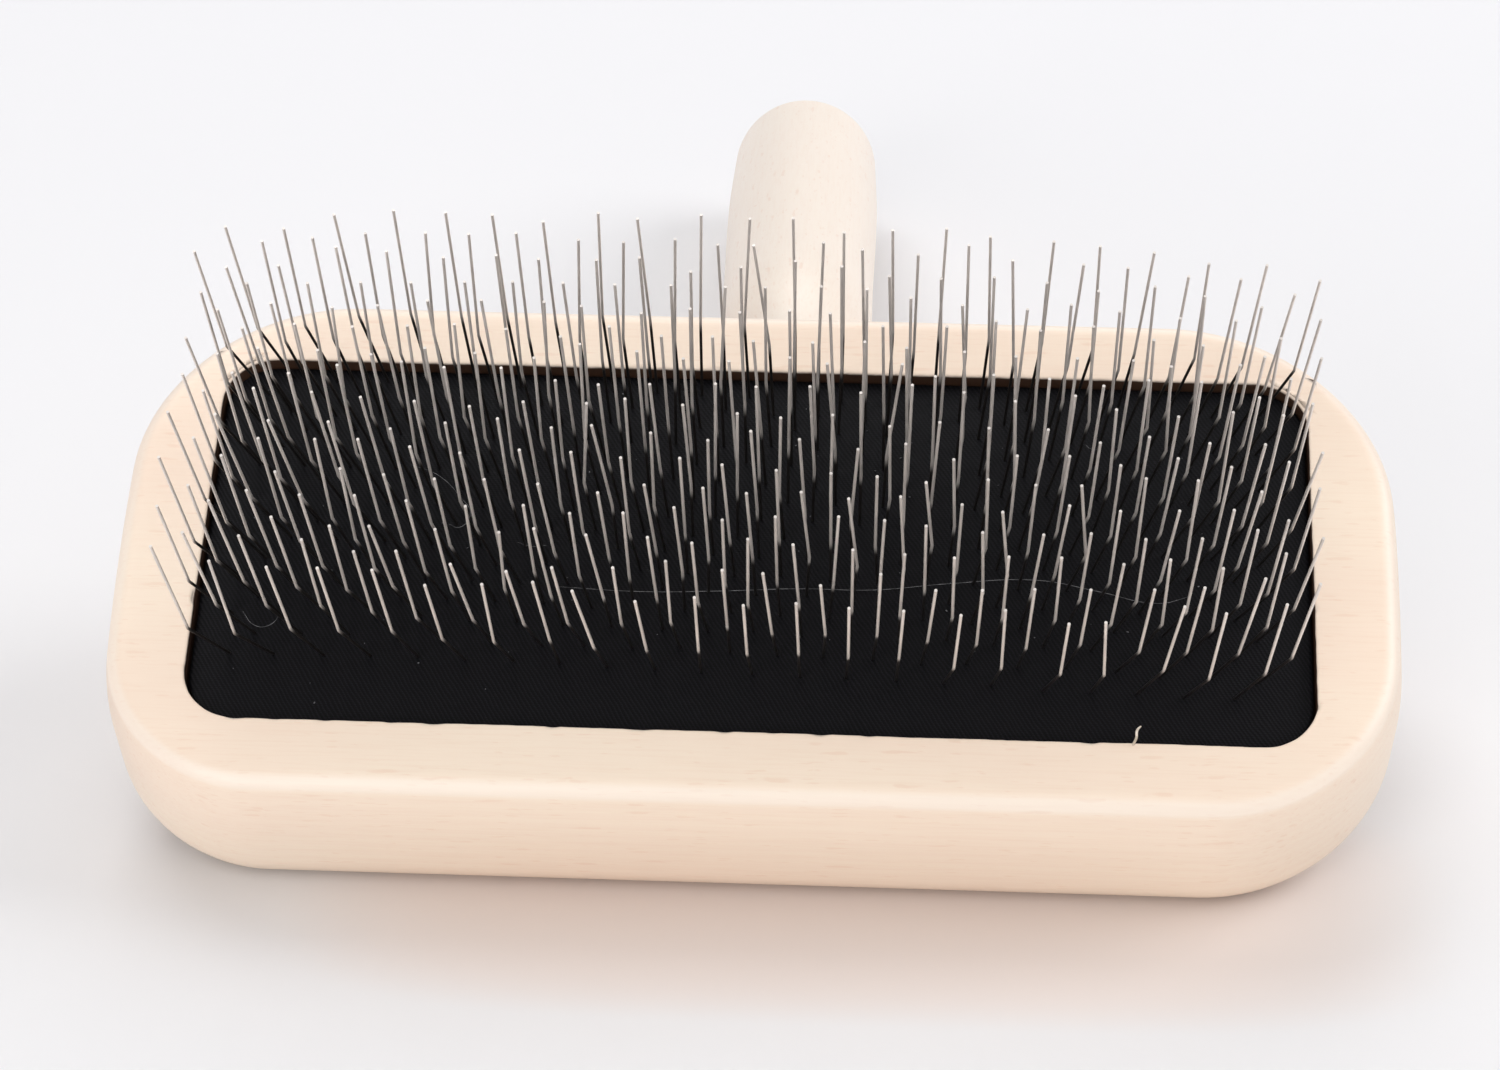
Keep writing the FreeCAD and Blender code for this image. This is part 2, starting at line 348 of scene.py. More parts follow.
def flecks(tree, vector, scale, size):
    """Thin dashes strewn along the grain, 1 in their middle and 0 outside."""
    terms = {0: stretched(tree, vector, scale), 1: noise_of(tree, vector, 0.35, 2.0)}
    wavy = add(tree, "ShaderNodeVectorMath", terms, operation="ADD").outputs[0]
    cells = add(tree, "ShaderNodeTexVoronoi", {"Vector": wavy, "Scale": 1.0}).outputs
    chance = add(tree, "ShaderNodeSeparateColor", {0: cells["Color"]}).outputs[0]
    reach = times(tree, chance, size)
    return ramp(tree, minus(tree, reach, cells["Distance"]), 0.0, size * 0.5)


def painted_pocket_shade(tree):
    """Where painted shade darkens the head: 1 on the pocket's wall and floor, 0 elsewhere."""
    where = coordinates(tree, HEAD_AXES)
    along, across, height = split(tree, where)
    within_length = maths(tree, "LESS_THAN", maths(tree, "ABSOLUTE", along), POCKET_LENGTH / 2 + 1.0)
    within_width = maths(tree, "LESS_THAN", maths(tree, "ABSOLUTE", across), POCKET_WIDTH / 2 + 1.0)
    inside = times(tree, within_length, within_width)
    ragged = plus(tree, height, times(tree, noise_of(tree, where, 0.9, 3.0), 0.2))
    below_rim = minus(tree, 1.0, ramp(tree, ragged, -0.28, 0.05))
    above_back = maths(tree, "GREATER_THAN", height, -POCKET_FLOOR - 1.0)
    return times(tree, inside, times(tree, below_rim, above_back))


def painted_edge_highlight(tree):
    """Where a painted highlight lightens the head: 1 on the round where the sides turn into the rim,
    0 elsewhere.
    """
    height = split(tree, coordinates(tree, HEAD_AXES))[2]
    risen = ramp(tree, height, -RIM_ROUND_DEEP * 0.8, -RIM_ROUND_DEEP * 0.4)
    flat = ramp(tree, height, -RIM_ROUND_DEEP * 0.15, 0.0)
    return times(tree, risen, minus(tree, 1.0, flat))


def between(first, second, share):
    """A colour a share of the way from one to another."""
    return tuple(a + (b - a) * share for a, b in zip(first, second))


def wood(name, axes, bleach=0.0, pocket=False):
    """Pale sanded beech: growth bands, fine fibres and short ray flecks along the first axis.

    bleach is how far the colours go to the palest one. With pocket, painted shade darkens the
    pocket's wall and floor and a painted highlight lightens the round at the rim.
    """
    material, tree, shader = shader_material(name)
    where = coordinates(tree, axes)
    drift = noise_of(tree, stretched(tree, where, (0.012, 0.05, 0.05)), 1.0, 3.0)
    bands = add(
        tree,
        "ShaderNodeTexWave",
        {
            "Vector": stretched(tree, where, (0.006, 0.12, 0.2)),
            "Scale": 1.0,
            "Distortion": 3.0,
            "Detail": 3.0,
            "Detail Scale": 0.7,
        },
        bands_direction="Z",
    ).outputs["Fac"]
    fibres = noise_of(tree, stretched(tree, where, (0.12, 3.2, 3.2)), 1.0, 4.0, 0.6)
    pores = noise_of(tree, stretched(tree, where, (0.6, 9.0, 9.0)), 1.0, 2.0, 0.7)
    early, late = between(CREAM, PALE, bleach), between(PEACH, PALE, bleach)
    colour = mix(tree, ramp(tree, drift, 0.3, 0.7), early, late)
    colour = mix(tree, times(tree, bands, 0.32), colour, late)
    shade = times(tree, ramp(tree, fibres, 0.4, 0.8), 0.1)
    colour = mix(tree, shade, colour, FLECK, blend="MULTIPLY")
    long_dashes = times(tree, flecks(tree, where, (0.16, 1.25, 1.25), 0.36), 0.75)
    short_dashes = times(tree, flecks(tree, where, (0.36, 2.4, 2.4), 0.36), 0.6)
    dashes = maths(tree, "MAXIMUM", long_dashes, short_dashes)
    colour = mix(tree, times(tree, dashes, 0.32), colour, FLECK)
    if pocket:
        # painted highlight: the round at the rim is lightened towards the palest colour
        colour = mix(tree, times(tree, painted_edge_highlight(tree), 0.4), colour, PALE)
        # painted shade darkens the pocket's wall and floor
        colour = mix(tree, painted_pocket_shade(tree), colour, POCKET_SHADE_PAINT)
    tree.links.new(colour, shader.inputs["Base Color"])
    satin = plus(tree, times(tree, pores, 0.18), 0.3)
    tree.links.new(satin, shader.inputs["Roughness"])
    shader.inputs["Specular IOR Level"].default_value = 0.55
    bump(tree, shader, plus(tree, fibres, times(tree, pores, 0.6)), 0.2, 0.015)
    return material


def twill():
    """Black twill: raised diagonal ribs broken up by the threads that cross them."""
    material, tree, shader = shader_material("black_twill")
    where = coordinates(tree, HEAD_AXES)
    along, across, _ = split(tree, where)
    sway = times(tree, noise_of(tree, where, 0.4, 2.0), 0.5)
    slanted = plus(tree, along, times(tree, across, 0.62))
    ribs = maths(tree, "SINE", times(tree, plus(tree, slanted, sway), 13.6))
    picks = maths(tree, "SINE", times(tree, across, 25.0))
    weave = plus(tree, ribs, times(tree, picks, 0.45))
    relief = plus(tree, weave, noise_of(tree, where, 6.0, 3.0, 0.7))
    patch = noise_of(tree, where, 0.16, 3.0)
    shine = ramp(tree, relief, -0.2, 1.9)
    colour = mix(tree, shine, (0.0006, 0.0006, 0.0011, 1), (0.0066, 0.0062, 0.0085, 1))
    dust = ramp(tree, noise_of(tree, where, 2.2, 3.0, 0.7), 0.7, 0.82)
    dusty = times(tree, dust, times(tree, patch, 0.5))
    colour = mix(tree, dusty, colour, (0.05, 0.05, 0.054, 1))
    tree.links.new(colour, shader.inputs["Base Color"])
    shader.inputs["Roughness"].default_value = 0.62
    shader.inputs["Specular IOR Level"].default_value = 0.12
    shader.inputs["Sheen Weight"].default_value = 0.01
    shader.inputs["Sheen Roughness"].default_value = 0.4
    bump(tree, shader, relief, 0.35, 0.04)
    return material


def rubber():
    """Dull black natural rubber with a faint moulded grain."""
    material, tree, shader = shader_material("black_rubber")
    where = coordinates(tree, HEAD_AXES)
    grain = noise_of(tree, where, 3.0, 4.0, 0.65)
    bloom = noise_of(tree, where, 0.2, 3.0)
    bloomed = ramp(tree, bloom, 0.35, 0.7)
    colour = mix(tree, bloomed, (0.012, 0.011, 0.011, 1), (0.03, 0.028, 0.027, 1))
    tree.links.new(colour, shader.inputs["Base Color"])
    tree.links.new(ramp(tree, grain, -0.6, 1.3), shader.inputs["Roughness"])
    bump(tree, shader, grain, 0.3, 0.03)
    return material


def backing():
    """Ecru backing cloth in a plain weave."""
    material, tree, shader = shader_material("backing_weave")
    where = coordinates(tree, HEAD_AXES)
    along, across, _ = split(tree, where)
    warp = maths(tree, "SINE", times(tree, along, 14.0))
    weft = maths(tree, "SINE", times(tree, across, 14.0))
    relief = plus(tree, times(tree, warp, weft), noise_of(tree, where, 5.0, 3.0, 0.7))
    raised = ramp(tree, relief, -0.6, 1.6)
    colour = mix(tree, raised, (0.24, 0.2, 0.15, 1), (0.56, 0.5, 0.41, 1))
    tree.links.new(colour, shader.inputs["Base Color"])
    shader.inputs["Roughness"].default_value = 0.9
    bump(tree, shader, relief, 0.6, 0.08)
    return material


def foam():
    """Grey open-celled foam."""
    material, tree, shader = shader_material("grey_foam")
    where = coordinates(tree, HEAD_AXES)
    cells = add(tree, "ShaderNodeTexVoronoi", {"Vector": where, "Scale": 1.6}).outputs["Distance"]
    fine = noise_of(tree, where, 2.5, 4.0, 0.7)
    holes = ramp(tree, cells, 0.15, 0.6)
    colour = mix(tree, holes, (0.035, 0.035, 0.038, 1), (0.15, 0.15, 0.155, 1))
    colour = mix(tree, times(tree, fine, 0.4), colour, (0.2, 0.2, 0.205, 1))
    tree.links.new(colour, shader.inputs["Base Color"])
    shader.inputs["Roughness"].default_value = 0.95
    bump(tree, shader, plus(tree, holes, fine), 0.7, 0.25)
    return material


def steel_wire():
    """Drawn steel wire: bright above the knee, and painted shade between the knee and the pad."""
    material, tree, shader = shader_material("drawn_steel")
    where = coordinates(tree, HEAD_AXES)
    height = split(tree, where)[2]
    drawn = noise_of(tree, stretched(tree, where, (14.0, 14.0, 0.5)), 1.0, 3.0, 0.6)
    tarnish = noise_of(tree, stretched(tree, where, (0.5, 0.5, 0.12)), 1.0, 3.0)
    tarnished = ramp(tree, tarnish, 0.3, 0.75)
    bright = mix(tree, tarnished, (0.86, 0.805, 0.76, 1), (0.66, 0.615, 0.58, 1))
    bright = mix(tree, times(tree, drawn, 0.35), bright, (0.93, 0.9, 0.86, 1))
    # painted shade: below the knee the wire is coloured near black
    above_knee = ramp(tree, plus(tree, height, tarnish), KNEE_HEIGHT - 1.2, KNEE_HEIGHT + 0.8)
    colour = mix(tree, above_knee, (0.045, 0.04, 0.038, 1), bright)
    tree.links.new(colour, shader.inputs["Base Color"])
    shader.inputs["Metallic"].default_value = 0.8
    dullness = plus(tree, 0.75, times(tree, above_knee, 0.25))
    roughness = times(tree, ramp(tree, drawn, -0.6, 1.5), dullness)
    tree.links.new(roughness, shader.inputs["Roughness"])
    bump(tree, shader, times(tree, drawn, above_knee), 0.04, 0.01)
    return material


def fibre(name, dark, pale):
    """A loose fibre whose shade changes along it."""
    material, tree, shader = shader_material(name)
    where = coordinates(tree, HEAD_AXES)
    colour = mix(tree, ramp(tree, noise_of(tree, where, 1.2, 3.0), 0.35, 0.65), dark, pale)
    tree.links.new(colour, shader.inputs["Base Color"])
    shader.inputs["Roughness"].default_value = 0.6
    bump(tree, shader, noise_of(tree, where, 12.0, 2.0), 0.3, 0.02)
    return material


def paper(name, near, far):
    """Matt white sweep, faintly uneven, with painted warm shade from the wood's bounce close to the
    head.
    """
    material, tree, shader = shader_material(name)
    where = coordinates(tree, Matrix.Identity(3))
    parts = split(tree, where)
    colour = mix(tree, ramp(tree, parts[1], -250.0, 350.0), near, far)
    powers = []
    for part, middle, half_reach in zip(parts, CAST_MIDDLE, (CAST_LENGTH, CAST_WIDTH)):
        share = maths(tree, "DIVIDE", minus(tree, part, middle), half_reach)
        powers.append(maths(tree, "POWER", maths(tree, "ABSOLUTE", share), 4.0))
    faded = ramp(tree, plus(tree, *powers), 0.05, 1.0)
    warm_shade_share = minus(tree, CAST_SHARE, times(tree, faded, CAST_SHARE))
    # painted warm shade on the paper in front of the head
    colour = mix(tree, warm_shade_share, colour, PAINTED_WARM_SHADE)
    mottle = times(tree, noise_of(tree, where, 0.02, 2.0), 0.02)
    colour = mix(tree, mottle, colour, (0.6, 0.6, 0.6, 1))
    tree.links.new(colour, shader.inputs["Base Color"])
    shader.inputs["Roughness"].default_value = 0.85
    shader.inputs["Specular IOR Level"].default_value = 0.1
    return material


# ---------------------------------------------------------------- shapes


def rounded_outline(length, width, corners_r, inset=0.0):
    """Points round a rectangle with rounded corners, always the same number of them.

    corners_r goes front left, front right, rear right, rear left, and the points start at the
    left end of the front side. An inset outline keeps the corners' centres.
    """
    half_x, half_y = length / 2, width / 2
    signs = ((-1, -1), (1, -1), (1, 1), (-1, 1))
    centres = [(sx * (half_x - r), sy * (half_y - r)) for (sx, sy), r in zip(signs, corners_r)]
    points = []
    for side in range(4):
        start, end = side, (side + 1) % 4
        facing = math.radians(90 * side - 90)
        outward = Vector((math.cos(facing), math.sin(facing)))
        first = Vector(centres[start]) + outward * (corners_r[start] - inset)
        last = Vector(centres[end]) + outward * (corners_r[end] - inset)
        samples = ACROSS_SAMPLES if side % 2 else ALONG_SAMPLES
        points += [first.lerp(last, i / samples) for i in range(samples)]
        radius = corners_r[end] - inset
        for i in range(CORNER_SAMPLES):
            angle = facing + math.radians(90) * i / CORNER_SAMPLES
            arm = Vector((math.cos(angle), math.sin(angle))) * radius
            points.append(Vector(centres[end]) + arm)
    return points


def mesh_object(name, vertices, faces, material):
    """A smooth-shaded mesh in the scene."""
    mesh = bpy.data.meshes.new(name)
    mesh.from_pydata([tuple(v) for v in vertices], [], faces)
    mesh.update()
    for face in mesh.polygons:
        face.use_smooth = True
    mesh.materials.append(material)
    made = bpy.data.objects.new(name, mesh)
    bpy.context.scene.collection.objects.link(made)
    return made


def lofted(name, loops, material):
    """A closed skin through loops of points in the row frame, capped at both ends."""
    count = len(loops[0])
    vertices = [point for loop in loops for point in loop]
    faces = [tuple(reversed(range(count)))]
    for k in range(len(loops) - 1):
        low, high = k * count, (k + 1) * count
        for i in range(count):
            j = (i + 1) % count
            faces.append((low + i, low + j, high + j, high + i))
    faces.append(tuple(range((len(loops) - 1) * count, len(loops) * count)))
    return mesh_object(name, vertices, faces, material)


def edge_wear(x, y):
    """How far the recess edge strays from its true line at a point, from -1 to 1."""
    slow = noise.noise(Vector((x * 0.11, y * 0.11, 3.7)))
    fast = noise.noise(Vector((x * 0.9, y * 0.9, 8.1)))
    return slow + 0.5 * fast


def chips(x, y):
    """Depth of the small chips along the recess edge, from 0 to 1."""
    return max(0.0, noise.noise(Vector((x * 0.45, y * 0.45, 21.3))) - 0.36) * 3.0


def head_width():
    """Depth of the head from its front side to its handle side, in millimetres."""
    co = [Vector(v.co) - RIM_CENTRE for v in frame["nodes"]["head_block"].data.vertices]
    return 2 * max(abs(c.dot(HEAD_TO_HANDLE)) for c in co) / MM


def outside_loops():
    """The head's outside, from its flat back up the sides and over the rim."""
    length, width = 2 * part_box("head_block")[1].x / MM, head_width()
    loops = []

    def outer(inset, z):
        """Adds the bowed outline, brought in by the inset, at a height."""
        outline = rounded_outline(length, width, HEAD_CORNERS_R, inset)
        loops.append([(p.x * (1 - END_BOW * (2 * p.y / width) ** 2), p.y, z) for p in outline])

    for i in range(ROUND_STEPS + 1):
        angle = math.radians(90) * i / ROUND_STEPS
        risen = BACK_ROUND_R * (1 - math.cos(angle))
        outer(BACK_ROUND_R * (1 - math.sin(angle)), -HEAD_THICKNESS + risen)

    crease = math.radians(RIM_CREASE_DEG)
    side_low = -HEAD_THICKNESS + BACK_ROUND_R
    side_high = -RIM_ROUND_DEEP * (1 - math.sin(crease))
    outer(0, (side_low - SIDE_LEAN_DEEP) / 2)
    for i in range(ROUND_STEPS):
        share = i / ROUND_STEPS
        outer(SIDE_LEAN * share**2, -SIDE_LEAN_DEEP + (SIDE_LEAN_DEEP + side_high) * share)

    for i in range(ROUND_STEPS + 1):
        angle = crease + (math.radians(90) - crease) * i / ROUND_STEPS
        rolled = RIM_ROUND_WIDE * (math.cos(crease) - math.cos(angle))
        outer(SIDE_LEAN + rolled, -RIM_ROUND_DEEP * (1 - math.sin(angle)))
    return loops


def edge_ring(pocket, outside, ring):
    """One ring over the worn recess edge, as EDGE_RINGS describes it."""
    out, down, chip_out, chip_down = ring
    points = []
    for p, q in zip(pocket, outside):
        wear = edge_wear(p.x, p.y) * POCKET_EDGE_WOBBLE
        chip = chips(p.x, p.y) * POCKET_EDGE_BREAK
        reach = POCKET_EDGE_BREAK * out + (wear + chip * chip_out)
        edge = p + (q - p) * max(reach, -PAD_GAP * 0.3)
        points.append((edge.x, edge.y, -POCKET_EDGE_BREAK * down - chip * chip_down))
    return points


def head_loops():
    """The head from its flat back, round the outside and over the rim, down into the pocket."""
    loops = outside_loops()
    pocket = rounded_outline(POCKET_LENGTH, POCKET_WIDTH, POCKET_CORNERS_R)
    outside = rounded_outline(POCKET_LENGTH, POCKET_WIDTH, POCKET_CORNERS_R, -1.0)
    rim_edge = [Vector(p[:2]) for p in loops[-1]]
    for share in (0.3, 0.6, 0.9):
        between_edges = [a.lerp(b, share) for a, b in zip(rim_edge, pocket)]
        loops.append([(p.x, p.y, 0.0) for p in between_edges])
    loops += [edge_ring(pocket, outside, ring) for ring in EDGE_RINGS]
    loops.append([(p.x, p.y, -POCKET_FLOOR) for p in pocket])
    return loops


def head_piece(material):
    """The head with the dowel's own shape cut out of it."""
    loops = [[frame_point(*p) for p in loop] for loop in head_loops()]
    block = lofted("wood_head", loops, material)
    dowel = bpy.data.objects.new("dowel_shape", frame["nodes"]["handle_dowel"].data.copy())
    bpy.context.scene.collection.objects.link(dowel)
    bore = block.modifiers.new("bore", "BOOLEAN")
    bore.operation = "DIFFERENCE"
    bore.object = dowel
    bored = block.evaluated_get(bpy.context.evaluated_depsgraph_get())
    shape = bpy.data.meshes.new_from_object(bored)
    block.modifiers.remove(bore)
    block.data = shape
    bpy.data.objects.remove(dowel)
    return block


def pad_height(x, y):
    """Height of the crowned pad's face over the rim's plane."""
    u = 2 * x / POCKET_LENGTH
    w = 2 * y / POCKET_WIDTH
    return -PAD_DROP + PAD_CROWN * (1 - abs(u) ** 4) * (1 - w * w)


def pin_feet():
    """Where the pins come through the cloth: the middles of the wire just under the pad's face."""
    feet = []
    for name, node in frame["nodes"].items():
        if not name.startswith("staple_row"):
            continue
        co = np.array([v.co for v in node.data.vertices]) - np.array(RIM_CENTRE)
        local = co @ np.array([list(a) for a in HEAD_AXES]).T / MM
        height = local[:, 2] - np.array([pad_height(x, y) for x, y, _ in local])
        near = local[np.abs(height + FOOT_DEPTH) < FOOT_BAND][:, :2]
        feet += cluster(near)
    return feet


def cluster(points):
    """Middles of groups of points that lie within a pin's reach of each other."""
    groups = []
    for x, y in points[np.argsort(points[:, 0])]:
        for group in groups[-4:]:
            total_x, total_y, count = group
            if abs(total_x / count - x) < PIN_REACH and abs(total_y / count - y) < PIN_REACH:
                group[:] = total_x + x, total_y + y, count + 1
                break
        else:
            groups.append([x, y, 1])
    return [(total_x / count, total_y / count) for total_x, total_y, count in groups]


def foot_buckets(feet):
    """Pin feet filed by squares, each foot in its own square and the eight round it."""
    buckets = {}
    for x, y in feet:
        for dx in (-1, 0, 1):
            for dy in (-1, 0, 1):
                square = (int(x // FOOT_SQUARE) + dx, int(y // FOOT_SQUARE) + dy)
                buckets.setdefault(square, []).append((x, y))
    return buckets


def dent(buckets, x, y):
    """How deep the pins' dimples are at a point, 1 in the middle of one."""
    near = buckets.get((int(x // FOOT_SQUARE), int(y // FOOT_SQUARE)), ())
    return sum(math.exp(-((x - fx) ** 2 + (y - fy) ** 2) / DIMPLE_R**2) for fx, fy in near)


def corner_squeezed(x, y):
    """A grid point of the pad's rectangle moved so that the grid's corners follow round ones."""
    start_x, start_y = PAD_LENGTH / 2 - PAD_CORNER_R, PAD_WIDTH / 2 - PAD_CORNER_R
    if abs(x) <= start_x or abs(y) <= start_y:
        return x, y
    u, v = (abs(x) - start_x) / PAD_CORNER_R, (abs(y) - start_y) / PAD_CORNER_R
    round_x = start_x + PAD_CORNER_R * u * math.sqrt(1 - v * v / 2)
    round_y = start_y + PAD_CORNER_R * v * math.sqrt(1 - u * u / 2)
    return math.copysign(round_x, x), math.copysign(round_y, y)


def pad_grid(grid):
    """The pad's outline filled with a grid of points, row by row, as x and y."""
    columns, rows = grid
    for j in range(rows + 1):
        for i in range(columns + 1):
            yield corner_squeezed(PAD_LENGTH * (i / columns - 0.5), PAD_WIDTH * (j / rows - 0.5))


def layer(name, depth, thickness, material, grid, dimples=None, ripple=0.0):
    """One layer of the pad: a crowned sheet with its top a given depth under the pad's face."""
    top, bottom = [], []
    for x, y in pad_grid(grid):
        z = pad_height(x, y) - depth
        swell = ripple * noise.noise(Vector((x * 0.5, y * 0.5, depth * 3)))
        top.append(frame_point(x, y, z - DIMPLE_DEPTH * dent(dimples or {}, x, y) + swell))
        bottom.append(frame_point(x, y, z - thickness))
    return sheet_solid(name, top, bottom, grid, material)


def foam_piece(depth):
    """Foam from under the backing cloth to the pocket floor, its face shaped by the pad."""
    top, bottom = [], []
    for x, y in pad_grid(FOAM_GRID):
        pits = FOAM_PITS * noise.noise(Vector((x * 1.3, y * 1.3, 5.0)))
        top.append(frame_point(x, y, pad_height(x, y) - depth + min(pits, FOAM_PIT_TOP)))
        bottom.append(frame_point(x, y, -POCKET_FLOOR + FOAM_FLOOR_GAP))
    return sheet_solid("foam_pad", top, bottom, FOAM_GRID, foam())


def sheet_solid(name, top, bottom, grid, material):
    """A closed sheet from two grids of points, joined along their borders."""
    columns, rows = grid[0] + 1, grid[1] + 1
    count = columns * rows
    faces = []
    for j in range(rows - 1):
        for i in range(columns - 1):
            a = j * columns + i
            quad = (a, a + 1, a + columns + 1, a + columns)
            faces.append(quad)
            faces.append(tuple(count + k for k in reversed(quad)))
    border = list(range(columns))
    border += [columns - 1 + j * columns for j in range(1, rows)]
    border += [(rows - 1) * columns + i for i in range(columns - 2, -1, -1)]
    border += [j * columns for j in range(rows - 2, 0, -1)]
    for a, b in zip(border, border[1:] + border[:1]):
        faces.append((a, count + a, count + b, b))
    return mesh_object(name, top + bottom, faces, material)


def strand(name, points, radius, material):
    """A thin round fibre through points of the head's frame, tapered to its ends."""
    curve = bpy.data.curves.new(name, "CURVE")
    curve.dimensions = "3D"
    curve.bevel_depth = radius * MM
    curve.bevel_resolution = 2
    curve.use_fill_caps = True
    curve.resolution_u = 6
    line = curve.splines.new("BEZIER")
    line.bezier_points.add(len(points) - 1)
    for knot, point in zip(line.bezier_points, points):
        knot.co = frame_point(*point)
        knot.handle_left_type = "AUTO"
        knot.handle_right_type = "AUTO"
    line.bezier_points[0].radius = 0.55
    line.bezier_points[-1].radius = 0.55
    curve.materials.append(material)
    made = bpy.data.objects.new(name, curve)
    bpy.context.scene.collection.objects.link(made)
    return made


def on_pad(x, y, lift):
    """A place a little over the cloth."""
    return x, y, pad_height(x, y) + lift


def lint(material):
    """Small specks of fluff lying on the cloth, as one piece."""
    rng = random.Random(31)
    shape = bmesh.new()
    for _ in range(LINT_COUNT):
        x = rng.uniform(-LINT_SPREAD, LINT_SPREAD) * POCKET_LENGTH
        y = rng.uniform(-LINT_SPREAD_ACROSS, LINT_SPREAD_ACROSS) * POCKET_WIDTH
        size = rng.uniform(0.03, 0.08) * MM
        speck = bmesh.ops.create_icosphere(shape, subdivisions=1, radius=size)["verts"]
        turn = Matrix.Rotation(rng.uniform(0, math.pi), 3, HEAD_UP)
        for v in speck:
            v.co.x *= rng.uniform(0.8, 2.2)
            v.co = turn @ v.co + frame_point(*on_pad(x, y, LINT_LIFT))
    mesh = bpy.data.meshes.new("lint")
    shape.to_mesh(mesh)
    shape.free()
    mesh.materials.append(material)
    made = bpy.data.objects.new("lint", mesh)
    bpy.context.scene.collection.objects.link(made)
    return made


# ---------------------------------------------------------------- stage


def light(name, place, size, power, colour):
    """A round softbox that faces the brush."""
    lamp = bpy.data.lights.new(name, "AREA")
    lamp.shape = "DISK"
    lamp.size = size
    lamp.energy = power
    lamp.color = colour
    made = bpy.data.objects.new(name, lamp)
    made.location = place
    made.rotation_euler = (Vector((0, 0, 0.02)) - Vector(place)).to_track_quat("-Z", "Y").to_euler()
    bpy.context.scene.collection.objects.link(made)


def camera():
    """The camera at the photograph's angle, level apart from a slight roll."""
    azimuth, elevation = math.radians(VIEW_AZIMUTH_DEG), math.radians(VIEW_ELEVATION_DEG)
    level = Vector((math.sin(azimuth), -math.cos(azimuth), 0.0))
    back = level * math.cos(elevation) + Vector((0, 0, math.sin(elevation)))
    lens = bpy.data.cameras.new("camera")
    lens.sensor_width = 36.0
    lens.lens = VIEW_LENS
    lens.clip_start, lens.clip_end = 0.01, 20.0
    made = bpy.data.objects.new("camera", lens)
    turn = (-back).to_track_quat("-Z", "Y").to_matrix().to_4x4()
    roll = Matrix.Rotation(math.radians(VIEW_ROLL_DEG), 4, "Z")
    place = Matrix.Translation(RIM_CENTRE + AIM_OFFSET + back * VIEW_DISTANCE)
    made.matrix_world = place @ turn @ roll
    bpy.context.scene.collection.objects.link(made)
    bpy.context.scene.camera = made


def sweep():
    """Round floor that curves up into a low wall on every side."""
    line = [(0.3, 0.0), (1.0, 0.0), (FLOOR_FLAT, 0.0)]
    for i in range(1, ROUND_STEPS + 1):
        angle = math.radians(90) * i / ROUND_STEPS
        reach = FLOOR_FLAT + FLOOR_BEND * math.sin(angle)
        line.append((reach, FLOOR_BEND * (1 - math.cos(angle))))
    line.append((FLOOR_FLAT + FLOOR_BEND, FLOOR_TOP))
    vertices = [(0.0, 0.0, 0.0)]
    for reach, z in line:
        for k in range(FLOOR_SIDES):
            turn = 2 * math.pi * k / FLOOR_SIDES
            vertices.append((reach * math.cos(turn), reach * math.sin(turn), z))
    faces = [(0, 1 + k, 1 + (k + 1) % FLOOR_SIDES) for k in range(FLOOR_SIDES)]
    for i in range(len(line) - 1):
        for k in range(FLOOR_SIDES):
            a = 1 + i * FLOOR_SIDES + k
            b = 1 + i * FLOOR_SIDES + (k + 1) % FLOOR_SIDES
            faces.append((a, a + FLOOR_SIDES, b + FLOOR_SIDES, b))
    near, far = (0.82, 0.82, 0.83, 1), (0.82, 0.82, 0.84, 1)
    mesh_object("sweep", vertices, faces, paper("sweep_paper", near, far))


def world():
    """Even white light from all round, and plain colour handling."""
    scene = bpy.context.scene
    scene.world = bpy.data.worlds.new("studio")
    scene.world.use_nodes = True
    sky = scene.world.node_tree.nodes["Background"]
    sky.inputs["Color"].default_value = (0.985, 0.985, 1.0, 1)
    sky.inputs["Strength"].default_value = 0.42
    scene.view_settings.view_transform = "Standard"
    scene.view_settings.look = "None"


# ---------------------------------------------------------------- the brush

head = head_piece(wood("beech_head", HEAD_AXES, pocket=True))
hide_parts("head_block")
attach(head, "head")

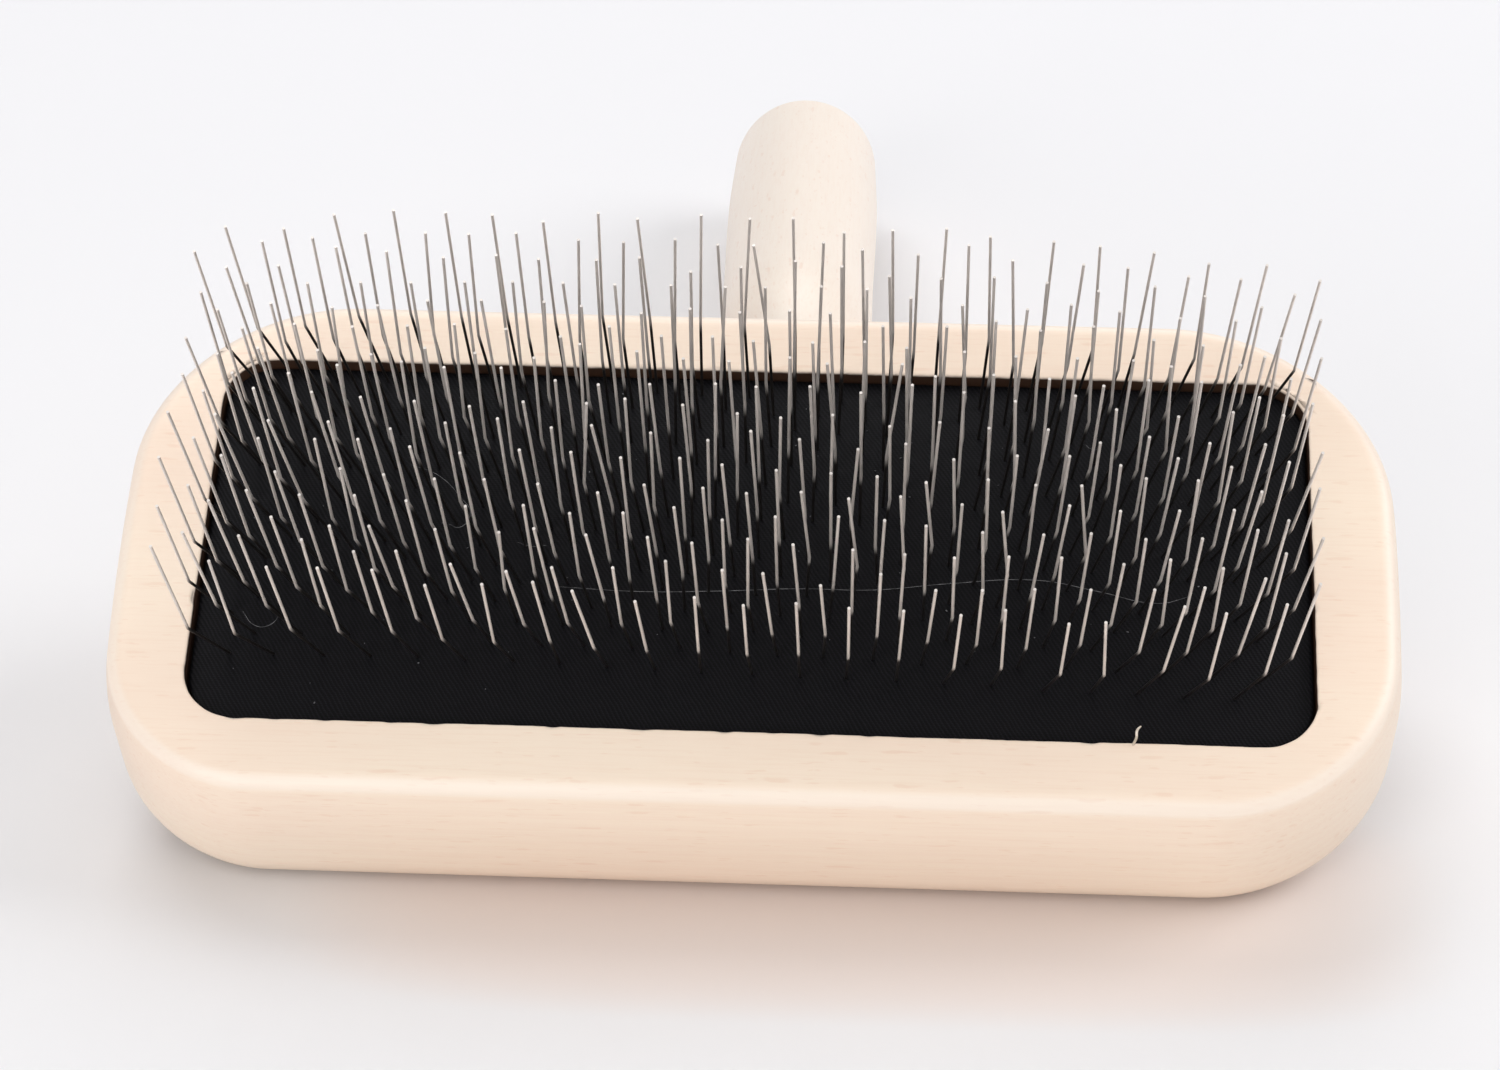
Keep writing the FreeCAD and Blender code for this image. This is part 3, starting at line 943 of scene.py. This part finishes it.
for node, bleach in (("handle", 0.62), ("handle_dowel", 0.0)):
    frame["nodes"][node].data.materials[0] = wood("beech_" + node, main_axes(node), bleach)

wire = steel_wire()
for name, node in frame["nodes"].items():
    if name.startswith("staple_row"):
        node.data.materials[0] = wire

feet = foot_buckets(pin_feet())
cloth = layer("twill_face", 0.0, CLOTH_THICKNESS, twill(), CLOTH_GRID, feet, CLOTH_RIPPLE)
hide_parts("face_cloth")
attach(cloth, "pad")

depth = CLOTH_THICKNESS + LAYER_GAP
base = layer("rubber_sheet", depth, RUBBER_THICKNESS, rubber(), UNDER_GRID)
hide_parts("rubber_foundation")
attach(base, "pad")

depth += RUBBER_THICKNESS + STAPLE_LAYER
under = layer("backing_sheet", depth, BACKING_THICKNESS, backing(), UNDER_GRID)
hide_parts("backing_cloth")
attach(under, "pad")

depth += BACKING_THICKNESS + FOAM_GAP
cushion = foam_piece(depth)
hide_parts("foam_cushion")
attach(cushion, "head")
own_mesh(cushion)

fluff = lint(fibre("lint_fluff", (0.05, 0.05, 0.055, 1), (0.17, 0.17, 0.18, 1)))
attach(fluff, "pad")

hair_finish = fibre("loose_hair", (0.1, 0.1, 0.105, 1), (0.3, 0.3, 0.31, 1))
for name, line in HAIRS.items():
    hair = strand(name, [on_pad(x, y, lift) for x, y, lift in line], HAIR_R, hair_finish)
    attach(hair, "pad")

splinter_finish = fibre("raised_grain", (0.5, 0.42, 0.33, 1), (0.86, 0.8, 0.7, 1))
splinter = strand("rim_splinter", SPLINTER, SPLINTER_R, splinter_finish)
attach(splinter, "head")

camera()
sweep()
world()
light("rear_left_softbox", (-0.45, 0.55, 1.35), 1.0, 6.7, (1.0, 0.99, 0.98))
light("rear_softbox", (0.1, 1.15, 1.0), 1.0, 3.9, (1.0, 0.99, 0.99))
light("side_softbox", (1.25, 0.1, 0.95), 1.1, 10.4, (1.0, 0.99, 0.99))
light("front_softbox", (-0.15, -1.05, 1.15), 0.9, 3.0, (1.0, 0.99, 0.98))
light("low_softbox", (-0.5, -1.25, 0.34), 0.9, 7.6, (1.0, 0.98, 0.97))
